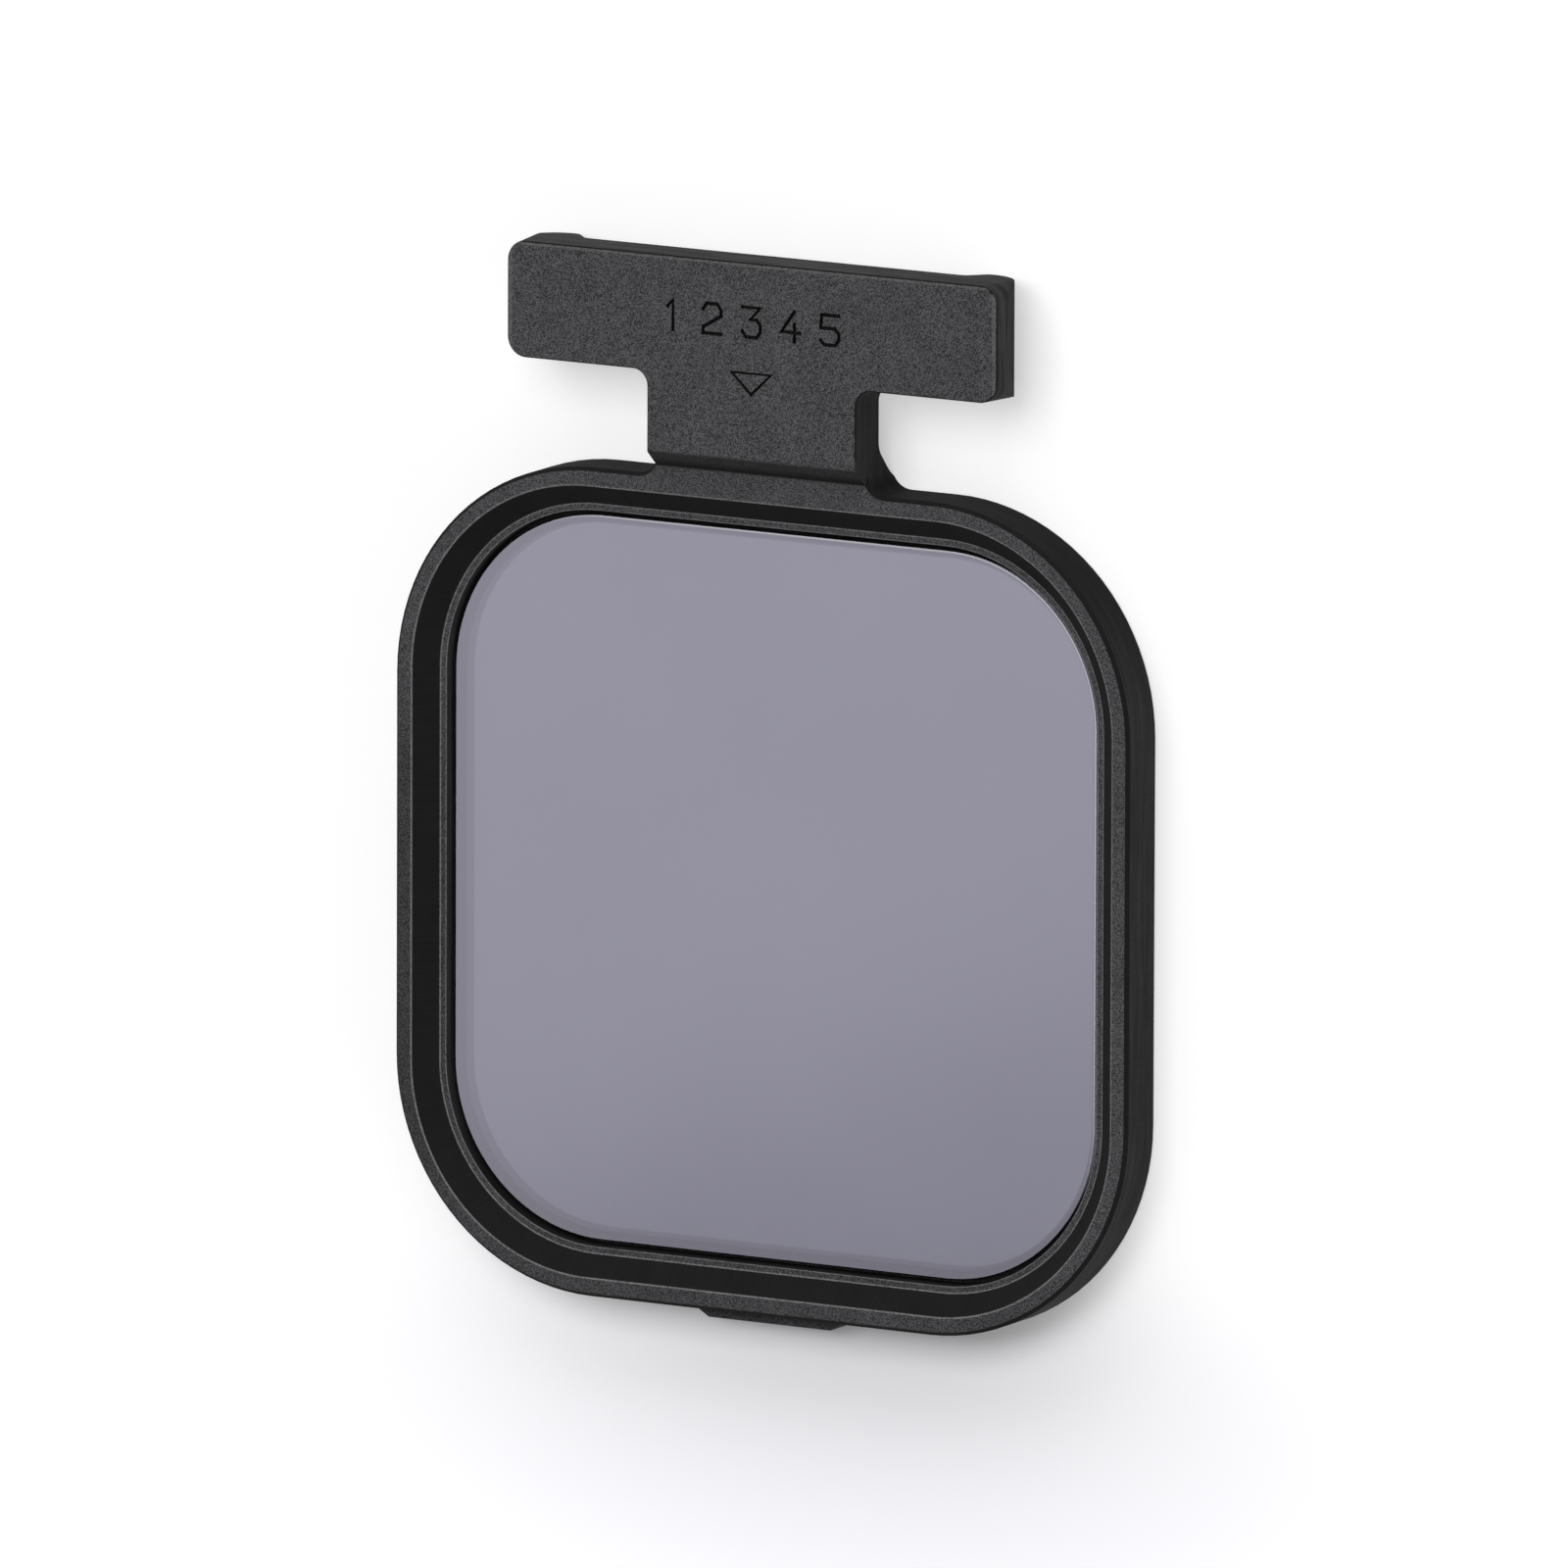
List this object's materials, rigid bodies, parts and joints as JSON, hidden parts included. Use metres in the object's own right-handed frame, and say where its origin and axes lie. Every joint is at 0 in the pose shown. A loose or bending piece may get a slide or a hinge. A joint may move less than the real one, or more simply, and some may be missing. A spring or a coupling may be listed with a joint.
{
  "type": "magnetic phone nd filter",
  "caption": "Neutral density filter for a phone camera block: rounded square glass in a milled frame with magnets, a stepped neck and a cross bar to pull it off",
  "frame": {"origin": "the middle of the filter's outer box, on the plane of the flat back face that it lies on", "axes": "+X across the filter to its right as seen from the front, +Y from the tongue at the bottom to the cross bar at the top, +Z out of the front face"},
  "size_m": [0.045, 0.0578, 0.0041],
  "materials": {
    "anodised_frame": "bead-blasted black anodised",
    "tinted_glass": "polished, coated, neutral grey",
    "black_film": "matt black",
    "plated_magnet": "nickel plated"
  },
  "bodies": {
    "root": {"filter_frame": "anodised_frame", "nd_glass": "tinted_glass", "adhesive_film": "black_film", "magnet_top": "plated_magnet", "magnet_bottom": "plated_magnet", "magnet_left": "plated_magnet", "magnet_right": "plated_magnet"}
  },
  "joints": []
}
